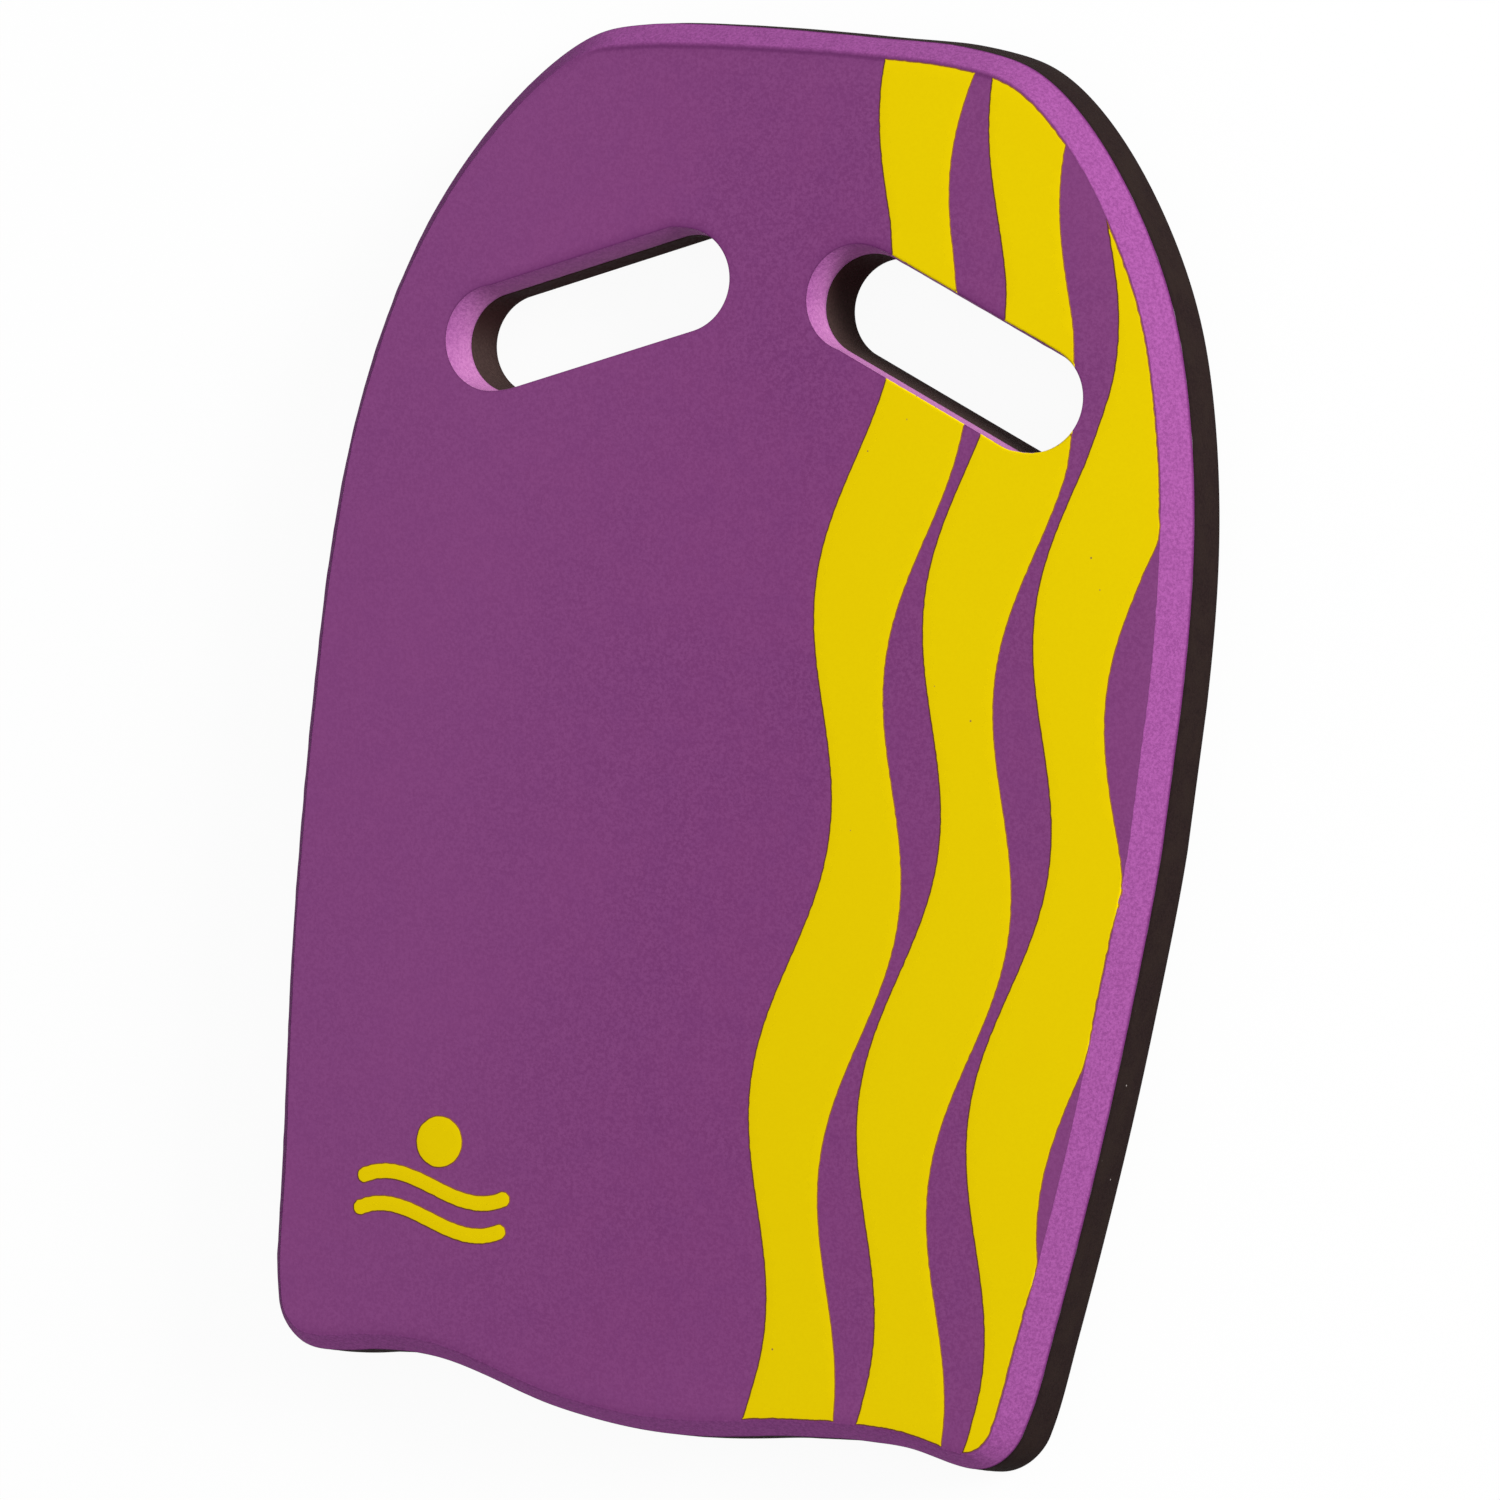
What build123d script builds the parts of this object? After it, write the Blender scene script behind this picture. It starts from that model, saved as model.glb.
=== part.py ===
from build123d import *

import math
import os

# Swimmer's kickboard: two sheets of EVA foam glued face to face, cut to one outline with two
# hand slots, and printed on the front. It lies on its back face at z = 0, with the nose toward
# +Y and the printed front up. The origin is below the middle of the board. Millimetres.

# Outline of the back face: a broad nose, shoulders that round into the sides, a narrower tail
board_length = 428.4
nose_radius = 900.0
nose_turn = 2.5
crown_half = 72.7
crown_from_nose = 6.2
shoulder_half = 117.6
shoulder_from_nose = 56.3
flank_half = 133.5
flank_from_nose = 96.2
widest_half = 144.8
widest_from_nose = 197.4

# Tail edge: a middle lobe, a shallow hollow on each side of it, and two rounded corners
hollow_offset = 78.0
hollow_rise = 9.9
corner_offset = 109.2
corner_rise = 6.9
corner_radius = 17.7
corner_turn = 81.2

# Foam sheets and the film of glue between them
front_thickness = 9.6
back_thickness = 17.2
glue_thickness = 0.2

# Cut edges: the back sheet leans in toward the glue, the front sheet is bevelled more steeply,
# and each keeps a narrow upright land below its slope
lean_width = 1.7
lean_land = 0.6
bevel_width = 6.8
bevel_land = 0.6

# Hand slots, mirrored about the middle, with their inner ends toward the nose
slot_offset = 59.2
slot_from_nose = 93.1
slot_length = 93.4
slot_width = 31.0
slot_tilt = 22.0
slot_mouth_radius = 1.5
slot_back_radius = 0.8

# Ink on the front: wave bands along the +X side
ink_thickness = 0.15
band_count = 3
band_start = 34.0
band_width = 26.0
band_gap = 9.5
band_swing = 7.5
band_wave_length = 150.0
band_lag = 50.0
points_per_wave = 8

# Ink on the front: a small crest near the -X corner, a disc above two short waves
crest_offset = 74.0
crest_from_tail = 64.0
disc_radius = 8.0
disc_rise = 14.0
ripple_count = 2
ripple_length = 48.0
ripple_width = 5.0
ripple_pitch = 10.0
ripple_swing = 2.5

glue_base = back_thickness
front_base = glue_base + glue_thickness
face_level = front_base + front_thickness
nose_level = board_length / 2
tail_level = -board_length / 2


def half_outline():
    """Edges of the +X half of the outline, from the middle of the tail to the middle of the nose."""
    across = Vector(1, 0)
    along = Vector(0, 1)
    tail_wave = Spline(
        (0, tail_level),
        (hollow_offset, tail_level + hollow_rise),
        (corner_offset, tail_level + corner_rise),
        tangents=[across, across, across],
    )
    corner = JernArc(tail_wave @ 1, across, corner_radius, corner_turn)
    side = Spline(
        corner @ 1,
        (widest_half, nose_level - widest_from_nose),
        tangents=[corner % 1, along],
    )
    nose = JernArc((0, nose_level), across, nose_radius, -nose_turn)
    arch = Spline(
        side @ 1,
        (flank_half, nose_level - flank_from_nose),
        (shoulder_half, nose_level - shoulder_from_nose),
        (crown_half, nose_level - crown_from_nose),
        nose @ 1,
        tangents=[along, (nose % 1) * -1],
    )
    return Curve() + [tail_wave, corner, side, arch, nose]


def board_face():
    """The whole outline as a face at z = 0."""
    right = half_outline()
    return make_face(right + mirror(right, Plane.YZ))


def slots(depth):
    """Both hand slots as solids that stand on z = 0."""
    shape = SlotOverall(slot_length, slot_width)
    right = Pos(slot_offset, nose_level - slot_from_nose) * Rot(0, 0, -slot_tilt) * shape
    return extrude(right + mirror(right, Plane.YZ), depth)


def flat_at(sheet, level):
    """The flat face of a sheet at one level."""
    flats = sheet.faces().filter_by(Plane.XY)
    return flats.sort_by(lambda flat: abs(flat.center().Z - level))[0]


def sloped_sheet(face, thickness, slope_width, land):
    """Sheet on z = 0 whose cut edge slopes in above an upright land."""
    sheet = extrude(face, thickness, dir=(0, 0, 1))
    rim = flat_at(sheet, thickness).edges()
    return chamfer(rim, thickness - land, slope_width)


def round_slot_edges(sheet, level, radius):
    """Round the edges of the two slots in the flat face at one level."""
    edges = flat_at(sheet, level).inner_wires().edges()
    return fillet(edges, radius)


def make_back_layer(board):
    """Back sheet, which carries the largest outline on its back face."""
    return round_slot_edges(board - slots(back_thickness), 0, slot_back_radius)


def make_glue_film(parting_face):
    """Film of glue, cut through together with the sheets."""
    film = extrude(parting_face, glue_thickness, dir=(0, 0, 1)) - slots(glue_thickness)
    return Pos(0, 0, glue_base) * film


def make_front_layer(parting_face):
    """Front sheet with its bevelled outline and its rounded slot mouths."""
    sheet = sloped_sheet(parting_face, front_thickness, bevel_width, bevel_land)
    sheet = sheet - slots(front_thickness)
    return Pos(0, 0, front_base) * round_slot_edges(sheet, front_thickness, slot_mouth_radius)


def wave_line(offset_x, lag):
    """Wavy line along the whole board, at an offset from its middle."""
    steps = points_per_wave * math.ceil(board_length / band_wave_length)
    points = []
    for step in range(steps + 1):
        run = board_length * step / steps
        phase = math.radians(360 * run / band_wave_length + lag)
        points.append((offset_x + band_swing * math.sin(phase), tail_level + run))
    return Spline(points)


def strip_between(line, other):
    """Face between two lines that run the same way."""
    first_end = Line(line @ 1, other @ 1)
    second_end = Line(other @ 0, line @ 0)
    return make_face(Curve() + [line, first_end, other, second_end])


def make_side_print(front_layer):
    """Wave bands, cut off by the bevel and by the slot."""
    field = flat_at(front_layer, face_level)
    bands = Part()
    for number in range(band_count):
        start = band_start + number * (band_width + band_gap)
        band = strip_between(wave_line(start, 0), wave_line(start + band_width, band_lag))
        bands += extrude(field & (Pos(0, 0, face_level) * band), ink_thickness, dir=(0, 0, 1))
    return bands


def ripple(level):
    """One short wave of the crest: a rise and then a dip, with round ends."""
    half = ripple_length / 2
    line = Spline(
        (-half, level),
        (-half / 2, level + ripple_swing),
        (0, level),
        (half / 2, level - ripple_swing),
        (half, level),
    )
    end = Circle(ripple_width / 2)
    return trace(line, ripple_width) + Pos(line @ 0) * end + Pos(line @ 1) * end


def make_corner_print():
    """Disc above two short waves."""
    crest = Pos(0, disc_rise) * Circle(disc_radius)
    for number in range(ripple_count):
        crest += ripple(-number * ripple_pitch)
    place = Pos(-crest_offset, tail_level + crest_from_tail, face_level)
    return place * extrude(crest, ink_thickness)


board = sloped_sheet(board_face(), back_thickness, lean_width, lean_land)
parting_face = Pos(0, 0, -back_thickness) * flat_at(board, back_thickness)
front_layer = make_front_layer(parting_face)
nodes = {
    "back_layer": make_back_layer(board),
    "glue_film": make_glue_film(parting_face),
    "front_layer": front_layer,
    "side_print": make_side_print(front_layer),
    "corner_print": make_corner_print(),
}

os.makedirs("parts", exist_ok=True)
for name, solid in nodes.items():
    export_step(solid, f"parts/{name}.step")
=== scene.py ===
import math

import bmesh
import bpy
import numpy as np
from mathutils import Matrix, Vector
from mathutils.bvhtree import BVHTree
from mathutils.geometry import delaunay_2d_cdt


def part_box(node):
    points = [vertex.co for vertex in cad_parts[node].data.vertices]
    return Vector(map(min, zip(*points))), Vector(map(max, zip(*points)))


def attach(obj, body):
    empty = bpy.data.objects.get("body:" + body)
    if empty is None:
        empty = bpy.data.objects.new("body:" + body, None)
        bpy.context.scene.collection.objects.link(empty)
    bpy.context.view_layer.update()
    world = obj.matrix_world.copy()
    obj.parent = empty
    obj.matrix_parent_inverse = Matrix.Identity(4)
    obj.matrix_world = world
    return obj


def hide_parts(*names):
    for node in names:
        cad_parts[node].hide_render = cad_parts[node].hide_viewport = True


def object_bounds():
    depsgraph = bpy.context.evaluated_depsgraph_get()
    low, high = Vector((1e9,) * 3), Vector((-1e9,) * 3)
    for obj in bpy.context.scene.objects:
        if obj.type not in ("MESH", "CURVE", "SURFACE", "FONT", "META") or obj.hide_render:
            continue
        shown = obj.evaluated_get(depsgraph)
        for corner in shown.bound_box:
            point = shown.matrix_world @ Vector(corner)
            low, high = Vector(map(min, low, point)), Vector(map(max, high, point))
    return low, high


# Looks of a two-sheet foam kickboard. The outline, the slots and the printed shapes are read from
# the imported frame, and the pieces here are finer meshes of the same bodies: soft and cut edges,
# faint unevenness, ink that lies on the foam, and procedural materials.

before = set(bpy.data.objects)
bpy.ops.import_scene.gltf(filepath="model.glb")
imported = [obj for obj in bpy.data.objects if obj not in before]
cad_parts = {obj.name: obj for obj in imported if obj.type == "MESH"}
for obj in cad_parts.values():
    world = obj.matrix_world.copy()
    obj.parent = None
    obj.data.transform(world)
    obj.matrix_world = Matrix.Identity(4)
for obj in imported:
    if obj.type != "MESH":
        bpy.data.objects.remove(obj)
cad_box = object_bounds()

# Lengths in the shape code are in millimetres, as in the part's source; meshes are in metres.
MM = 0.001
LEVEL_TOLERANCE = 0.003
SHARP_TURN = math.radians(35)
# How many points are measured against a line at once
BATCH = 2000
# The triangulation covers the points' whole hull, and takes points this close for one
WHOLE_HULL = 0
MERGE_DISTANCE = 1e-5

# How finely the meshes are divided
OUTLINE_STEP = 1.25
SLOT_STEP = 1.0
FACE_STEP = 4.0
HIDDEN_STEP = 9.0
INK_STEP = 0.9
INK_FILL_STEP = 2.6
CAP_MARGIN = 0.6
ARC_STEPS = 5
SLOPE_STEPS = 6
LEAN_STEPS = 8
WALL_STEPS = 8
FOOT_STEPS = 3
HALVES = (0, 0.5, 1)
THIRDS = (0, 0.33, 0.67, 1)
MOUTH_SHARES = (0, 0.35, 0.7, 1)

# Random waves: how many are summed, and their fewest and most turns against the middle one's
WAVES_SUMMED = 9
SLOWEST = 0.4
FASTEST = 1.6

# Cut edges of the sheets: the upright land, the rounded edges, and how far the slopes bulge. The
# land's own rounding ends LAND_SINK of its radius below the land's top, and the bevel's last ring
# lies at BEVEL_END of its way down.
LAND = 0.6
LAND_RADIUS = 0.35
LAND_SINK = 0.4
SEAM_RADIUS = 0.22
SEAM_RECESS = 0.12
RECESS_ROUGHNESS = 0.6
NOSE_EDGE_RADIUS = 1.8
SIDE_EDGE_RADIUS = 0.4
BACK_EDGE_RADIUS = 0.3
BEVEL_END = 0.93
BEVEL_BULGE = 0.16
LEAN_BULGE = 0.12
CUT_WOBBLE = 0.09
FINE_WOBBLE = 0.045
BEVEL_WOBBLE = 0.13
BEVEL_RIPPLE = 0.05
BACK_WOBBLE = 0.02

# The bevel is narrower at the tail and on the -X side, and wider on one part of the nose. The tail
# shows its soft edge and its crease TAIL_SHARE as much as the nose.
TAIL_SHARE = 0.45
LEFT_TUCK = 0.9
TAIL_TUCK = 1.5
NOSE_FULLNESS = 1.2
NOSE_FULL_PLACE = -44.0
NOSE_FULL_SPREAD = 34.0

# The line between the sheets lies further in, or out where negative, than the part's even one
NOSE_LEAN = 0.7
SIDE_LEAN = -0.3
TAIL_LEAN = 0.1
CORNER_LEAN = 0.9
CORNER_LEAN_PLACE = (124.0, -196.0)
CORNER_LEAN_SPREAD = 13.0

# Crease on the face beside the bevel, deepest at the nose, with painted shade in it. For each
# ring:
# the distance from the bevel's rounding, the share of the crease's depth, and the painted shade
CREASE_DEPTH = 0.12
EDGE_SINK = 0.4
EDGE_DARKNESS = 0.7
CREASE_RINGS = (
    (4.0, 0, 0),
    (3.4, 0, 0),
    (1.0, 0.4, 0.2),
    (0.5, 1, 0.55),
    (0, EDGE_SINK, EDGE_DARKNESS),
)

# Last rings of an edge, on the flat faces: their distance from the rounding
SEAM_MARGIN = 1.0
BACK_MARGIN = 2.0
SLOT_MARGIN = 1.5
RIM_SHIFTS = (3.4, 1.5, 0.45, 0.1)

# Walls of the slots
WALL_HOLLOW = 0.14
MOUTH_RADIUS = 0.3
MOUTH_SPREAD = 0.3
MOUTH_BLEND = 0.2
MOUTH_EDGE = 0.16
MOUTH_CURVE = 1.9
BACK_MOUTH_RADIUS = 0.8

# How much painted shade the edges take, and how much of the paler cut foam with painted light the
# slots' walls take, from 0 to 1; the painted light goes by the way each wall faces. On the front
# sheet's walls it shifts by LIT_CUT_TOP at the mouth and LIT_CUT_BASE at the seam.
LEFT_SHADE = 0.95
SEAM_FADE = 0.5
BACK_EDGE_DARKNESS = 0.4
FOOT_DARKNESS = 0.3
FRONT_FOOT_DARKNESS = 0.9
MOUTH_SHADE = 0.9
MOUTH_SIDE_SHADE = 0.3
MOUTH_RIM_SHADES = (0.25, 0.6)
BACK_RIM_SHADES = (1, 1, 1, 0.7)
CUT_RATE = 3
LIT_CUT_END = 0.36
LIT_CUT_TOP = -0.12
LIT_CUT_BASE = 0.28
UPPER_SHADE = 0.1
BACK_SHADE = 0.6
BACK_SHADE_START = 0.4

# The cut of each slot drifts, -X slot first: at the mouth, at the seam and at the back
MOUTH_DRIFTS = ((-3.35, -0.4), (-3.05, 0.4))
SEAM_DRIFTS = ((0.46, -0.73), (-0.92, -0.75))
BACK_DRIFTS = ((0.5, 0.2), (1.1, -0.34))

# The real outline isn't quite even: the -X tail corner is fuller and the -X side is drawn in
CORNER_SWELL = 2.2
CORNER_PLACE = -186.0
CORNER_SPREAD = 36.0
SIDE_DRAW = 0.95
SIDE_PLACE = -28.0
SIDE_SPREAD = 66.0
LEFT_FADE = 100.0
CORNER_START = 92.0
CORNER_RAMP = 24.0
# Smaller swellings of the outline: place, spread and height
SWELLINGS = (
    (93, -206, 11, -0.85),
    (62, -205, 12, 0.7),
    (-68, -205, 12, -0.4),
    (-34, -211, 14, 0.5),
    (42, 213, 15, 0.85),
    (-62, 211, 10, -0.5),
    (128, 138, 26, 0.4),
    (144, -18, 30, 0.5),
    (123, -200, 9, -0.3),
    (78, -204, 8, 0.45),
)

# Face of the foam: a broad swell and a weaker one across it, which both die out at the edges, and
# how much paler it is made at the outline and on the -X side, measured from every
# PALENESS_STRIDE-th point
FACE_SWELL = 0.03
BROAD_WAVES = (21.0, 27.0)
BROAD_PHASES = (1.3, 0.4)
CROSS_WAVES = (11.0, 14.0)
CROSS_PHASE = 2.1
CROSS_SHARE = 0.6
SWELL_MARGIN = 3.0
SWELL_SLOT_MARGIN = 6.0
SWELL_FADE = 25.0
PALENESS_STRIDE = 3
EDGE_FADE = 18.0
SIDE_PALENESS = 0.9
SIDE_PALENESS_PLACE = 20.0
SIDE_PALENESS_SPREAD = 110.0

# Ink on the foam: how far it stands proud, how its edge wanders, and how it ends at a cut edge
INK_PROUD = 0.09
INK_EDGE_PROUD = 0.05
INK_ROOT = 0.06
INK_EDGE = 0.5
INK_RINGS = (0.5, 1.0, 1.7, 2.6, 3.6)
INK_RING_SHARE = 0.85
INK_CUT_ZONE = 6.0
INK_EDGE_SETBACK = 0.1
INK_RAG = 0.06
INK_RAG_WAVES = (2.6, 7.0)
INK_RAG_SHARE = 0.6
INK_SOFTNESS = 0.05
INK_SOFT_WAVE = 4.0
INK_CORNER_FADE = 4.0
INK_REACH = 0.75
INK_FOLLOW = 9.0
INK_SEED_STEP = 10
MOUTH_REACH = 0.02
MOUTH_SETBACK = 0.4
MOUTH_BROWN = 0.2


# --- Closed lines in the plane -------------------------------------------------------------

def flat_loops(node, level):
    """Closed border lines of a CAD node's flat faces at one level, longest first."""
    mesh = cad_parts[node].data
    points = [tuple(round(c / MM, 3) for c in vertex.co) for vertex in mesh.vertices]
    edges = set()
    for face in mesh.polygons:
        corners = [points[i] for i in face.vertices]
        if max(abs(corner[2] - level) for corner in corners) < LEVEL_TOLERANCE:
            for start, end in zip(corners, corners[1:] + corners[:1]):
                edges.add((start[:2], end[:2]))
    border = {start: end for start, end in edges if (end, start) not in edges}
    loops = []
    while border:
        first = min(border)
        loop = [first]
        point = border.pop(first)
        while point != first:
            loop.append(point)
            point = border.pop(point)
        loops.append(counter_clockwise(np.array(loop)))
    return sorted(loops, key=lambda loop: -len_of(loop))


def signed_area(loop):
    x, y = loop.T
    return (x * np.roll(y, -1) - np.roll(x, -1) * y).sum() / 2


def counter_clockwise(loop):
    return loop if signed_area(loop) > 0 else loop[::-1].copy()


def len_of(loop):
    return np.hypot(*(np.roll(loop, -1, 0) - loop).T).sum()


def curve_through(loop, step):
    """Points on a smooth closed curve through a loop's points, which keeps its sharp corners."""
    ahead = np.roll(loop, -1, 0) - loop
    chord = np.hypot(*ahead.T)[:, None]
    leave = ahead / chord
    arrive = np.roll(leave, 1, 0)
    before = np.roll(chord, 1, 0)
    middle = (before * leave + chord * arrive) / (before + chord)
    turn = np.arccos(np.clip((leave * arrive).sum(1), -1, 1))
    sharp = (turn > SHARP_TURN)[:, None]
    out = np.where(sharp, leave, middle) * chord
    into = np.roll(np.where(sharp, arrive, middle), -1, 0) * chord
    points = []
    for i in range(len(loop)):
        start, end = loop[i], loop[(i + 1) % len(loop)]
        count = max(1, math.ceil(chord[i, 0] / step))
        t = (np.arange(count) / count)[:, None]
        points.append(
            (2 * t**3 - 3 * t**2 + 1) * start
            + (t**3 - 2 * t**2 + t) * out[i]
            + (3 * t**2 - 2 * t**3) * end
            + (t**3 - t**2) * into[i]
        )
    return np.concatenate(points)


def evenly(loop, step):
    """A closed line's points spread evenly along it."""
    closed = np.vstack([loop, loop[:1]])
    run = np.concatenate([[0], np.cumsum(np.hypot(*np.diff(closed, axis=0).T))])
    stops = np.linspace(0, run[-1], round(run[-1] / step), endpoint=False)
    return np.column_stack([np.interp(stops, run, closed[:, axis]) for axis in (0, 1)])


def outward(loop):
    """Unit normals of a counter-clockwise line."""
    along = np.roll(loop, -1, 0) - np.roll(loop, 1, 0)
    along /= np.hypot(*along.T)[:, None]
    return np.column_stack([along[:, 1], -along[:, 0]])


def wobble(loop, wave, seed):
    """Smooth random numbers round a closed line, mostly within 1 of zero."""
    rng = np.random.default_rng(seed)
    middle = len_of(loop) / wave
    slowest, fastest = max(1, int(middle * SLOWEST)), int(middle * FASTEST) + 2
    turns = np.unique(rng.integers(slowest, fastest, WAVES_SUMMED))
    phases = rng.uniform(0, 2 * math.pi, len(turns))
    run = np.arange(len(loop))[:, None] * 2 * math.pi / len(loop)
    return np.sin(run * turns + phases).sum(1) / math.sqrt(len(turns))


def inside(points, loop):
    """Which points lie inside a closed line."""
    x, y = points[:, :1], points[:, 1:]
    x0, y0 = loop.T
    x1, y1 = np.roll(loop, -1, 0).T
    crosses = (y0 > y) != (y1 > y)
    rise = np.where(y1 == y0, 1, y1 - y0)
    left = x < (x1 - x0) * (y - y0) / rise + x0
    return (crosses & left).sum(1) % 2 == 1


def nearest(points, line):
    """Distance from each point to the nearest point of a line, and that point's number."""
    gaps, numbers = [np.zeros(0)], [np.zeros(0, int)]
    for start in range(0, len(points), BATCH):
        squares = ((points[start:start + BATCH, None] - line[None]) ** 2).sum(2)
        gaps.append(np.sqrt(squares.min(1)))
        numbers.append(squares.argmin(1))
    return np.concatenate(gaps), np.concatenate(numbers)


def gap_to(points, line):
    return nearest(points, line)[0]


def bell(away, spread):
    """1 at a place, and fading to 0 with the distance from it."""
    return np.exp(-(away / spread) ** 2)


# --- The frame's shapes ----------------------------------------------------------------------

class Slot:
    """A hand slot: a straight run with a half circle at each end."""

    def __init__(self, loop):
        edges = np.roll(loop, -1, 0) - loop
        longest = np.argsort(-np.hypot(*edges.T))[:2]
        middles = loop[longest] + edges[longest] / 2
        self.axis = edges[longest[0]] / np.hypot(*edges[longest[0]])
        self.centre = middles.mean(0)
        self.radius = np.hypot(*(middles[0] - middles[1])) / 2
        self.half_run = np.hypot(*edges[longest[0]]) / 2
        self.side = int(self.centre[0] > 0)

    def line(self, step):
        """Points and outward normals round the slot, counter-clockwise."""
        side = np.array([-self.axis[1], self.axis[0]])
        bends = round(math.pi * self.radius / step)
        runs = round(2 * self.half_run / step)
        angles = np.linspace(-math.pi / 2, math.pi / 2, bends + 1)
        arc = np.column_stack([np.cos(angles), np.sin(angles)])
        run = np.linspace(self.half_run, -self.half_run, runs + 1)[1:-1]
        flat = np.column_stack([run, np.full(len(run), self.radius)])
        half = np.vstack([arc * self.radius + (self.half_run, 0), flat])
        normals = np.vstack([arc, np.tile((0.0, 1.0), (len(flat), 1))])
        local = np.vstack([half, -half])
        normals = np.vstack([normals, -normals])
        turn = np.vstack([self.axis, side])
        return local @ turn + self.centre, normals @ turn

    def gap_and_way(self, points):
        """Distance of points from the wall, negative inside the slot, and the way out to them."""
        shift = points - self.centre
        run = np.clip(shift @ self.axis, -self.half_run, self.half_run)
        spoke = shift - run[:, None] * self.axis
        length = np.hypot(*spoke.T)
        return length - self.radius, spoke / np.maximum(length, 0.001)[:, None]

    def gap(self, points):
        return self.gap_and_way(points)[0]

    def lip(self, way):
        """How far the mouth lies outside the slot's even line, by the way out from the slot."""
        spread = MOUTH_SPREAD + way @ MOUTH_DRIFTS[self.side] - MOUTH_RADIUS
        return MOUTH_RADIUS + MOUTH_BLEND * np.logaddexp(0, spread / MOUTH_BLEND)

    def seam(self, way):
        return way @ SEAM_DRIFTS[self.side]

    def back(self, way):
        return way @ BACK_DRIFTS[self.side]


def level_of(node, end):
    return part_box(node)[end].z / MM


BACK_TOP = level_of("back_layer", 1)
FRONT_BASE = level_of("front_layer", 0)
FACE = level_of("front_layer", 1)
INK_TOP = level_of("side_print", 1)


def unevenness(line):
    """How far the real outline lies outside the even one."""
    x, y = line.T
    swell = CORNER_SWELL * bell(y - CORNER_PLACE, CORNER_SPREAD)
    swell = swell * np.clip((-x - CORNER_START) / CORNER_RAMP, 0, 1)
    draw = SIDE_DRAW * bell(y - SIDE_PLACE, SIDE_SPREAD)
    total = swell - draw * np.clip(-x / LEFT_FADE, 0, 1) ** 2
    for at_x, at_y, spread, height in SWELLINGS:
        total = total + height * np.exp(-((x - at_x) ** 2 + (y - at_y) ** 2) / spread**2)
    return total


SMOOTH_LINE = curve_through(flat_loops("back_layer", 0)[0], OUTLINE_STEP / 5)
EVEN_LINE = evenly(SMOOTH_LINE, OUTLINE_STEP)
OUTLINE = EVEN_LINE + outward(EVEN_LINE) * unevenness(EVEN_LINE)[:, None]
OUTLINE = np.clip(OUTLINE, *(np.array(corner[:2]) / MM for corner in cad_box))
NORMALS = outward(OUTLINE)
SEAM_LOOPS = flat_loops("front_layer", FRONT_BASE)
FACE_LOOPS = flat_loops("front_layer", FACE)
SLOTS = [Slot(loop) for loop in SEAM_LOOPS[1:]]


def mean_inset(loop):
    """How far in from the outline a line parallel to it lies."""
    return gap_to(loop, evenly(SMOOTH_LINE, OUTLINE_STEP / 4)).mean()


LEAN = mean_inset(SEAM_LOOPS[0])
BEVEL = mean_inset(FACE_LOOPS[0])
SLOPE = math.atan2(FACE - FRONT_BASE - LAND, BEVEL - LEAN)

# How far out the part's own slot mouths are rounded: the mean for the loop round the first slot
CAD_MOUTH = min(SLOTS[0].gap(loop).mean() for loop in FACE_LOOPS[1:])

# How much each place of the outline faces the nose, the tail and the two sides
NOSEWARD = np.clip(NORMALS[:, 1], 0, 1)
TAILWARD = np.clip(-NORMALS[:, 1], 0, 1)
LEFTWARD = np.clip(-NORMALS[:, 0], 0, 1)
RIGHTWARD = np.clip(NORMALS[:, 0], 0, 1)
ENDWAYS = NOSEWARD**4 + TAIL_SHARE * TAILWARD**4

# The rounding between the face and the bevel, the bevel's edge on the face, and the seam's inset
EDGE_RADII = SIDE_EDGE_RADIUS + (NOSE_EDGE_RADIUS - SIDE_EDGE_RADIUS) * ENDWAYS
EDGE_REACH = EDGE_RADII * math.tan(SLOPE / 2)
NOSE_FULL = NOSEWARD**2 * bell(OUTLINE[:, 0] - NOSE_FULL_PLACE, NOSE_FULL_SPREAD)
FACE_EDGE = (BEVEL - LEFT_TUCK * LEFTWARD**2 - TAIL_TUCK * TAILWARD**2 + NOSE_FULLNESS * NOSE_FULL
             + BEVEL_WOBBLE * wobble(OUTLINE, wave=70, seed=3)
             + BEVEL_RIPPLE * wobble(OUTLINE, wave=9, seed=4))
TO_CORNER = np.hypot(*(OUTLINE - CORNER_LEAN_PLACE).T)
SEAM_INSET = (LEAN + NOSE_LEAN * NOSEWARD**4 + TAIL_LEAN * TAILWARD**4 + SIDE_LEAN * RIGHTWARD**4
              + CORNER_LEAN * bell(TO_CORNER, CORNER_LEAN_SPREAD))


# --- Sheet meshes ------------------------------------------------------------------------------

def ring(line, normals, inset, level, cut=0.0, painted_shade=0.0, wall=0.0):
    """One line of a sheet's edge, moved in from the outline, with its material values."""
    count = len(line)
    place = line - normals * np.broadcast_to(inset, count)[:, None]
    return {
        "points": np.column_stack([place, np.broadcast_to(level, count)]),
        "cut": np.broadcast_to(cut, count),
        "painted_shade": np.broadcast_to(painted_shade, count),
        "wall": np.broadcast_to(wall, count),
    }


def edge_ring(inset, level, cut=0.0, painted_shade=0.0):
    """One line round the board, moved in from its outline."""
    return ring(OUTLINE, NORMALS, inset, level, cut, painted_shade)


def slot_ring(slot, outside, level, cut=0.0, painted_shade=0.0, wall=0.0):
    """One line round a slot, moved out from it."""
    line, out = slot.line(SLOT_STEP)
    return ring(line, -out, outside, level, cut, painted_shade, wall)


def rounding(radius, shares):
    """Points of a quarter-round edge, by their share of the turn: how far each lies from the flat
    where the turn starts, and from the one where it ends."""
    for share in shares:
        turn = math.pi / 2 * share
        yield share, radius * (1 - math.cos(turn)), radius * (1 - math.sin(turn))


def inner_shares(steps):
    """Even shares between 0 and 1, without these two."""
    return [k / steps for k in range(1, steps)]


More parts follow.
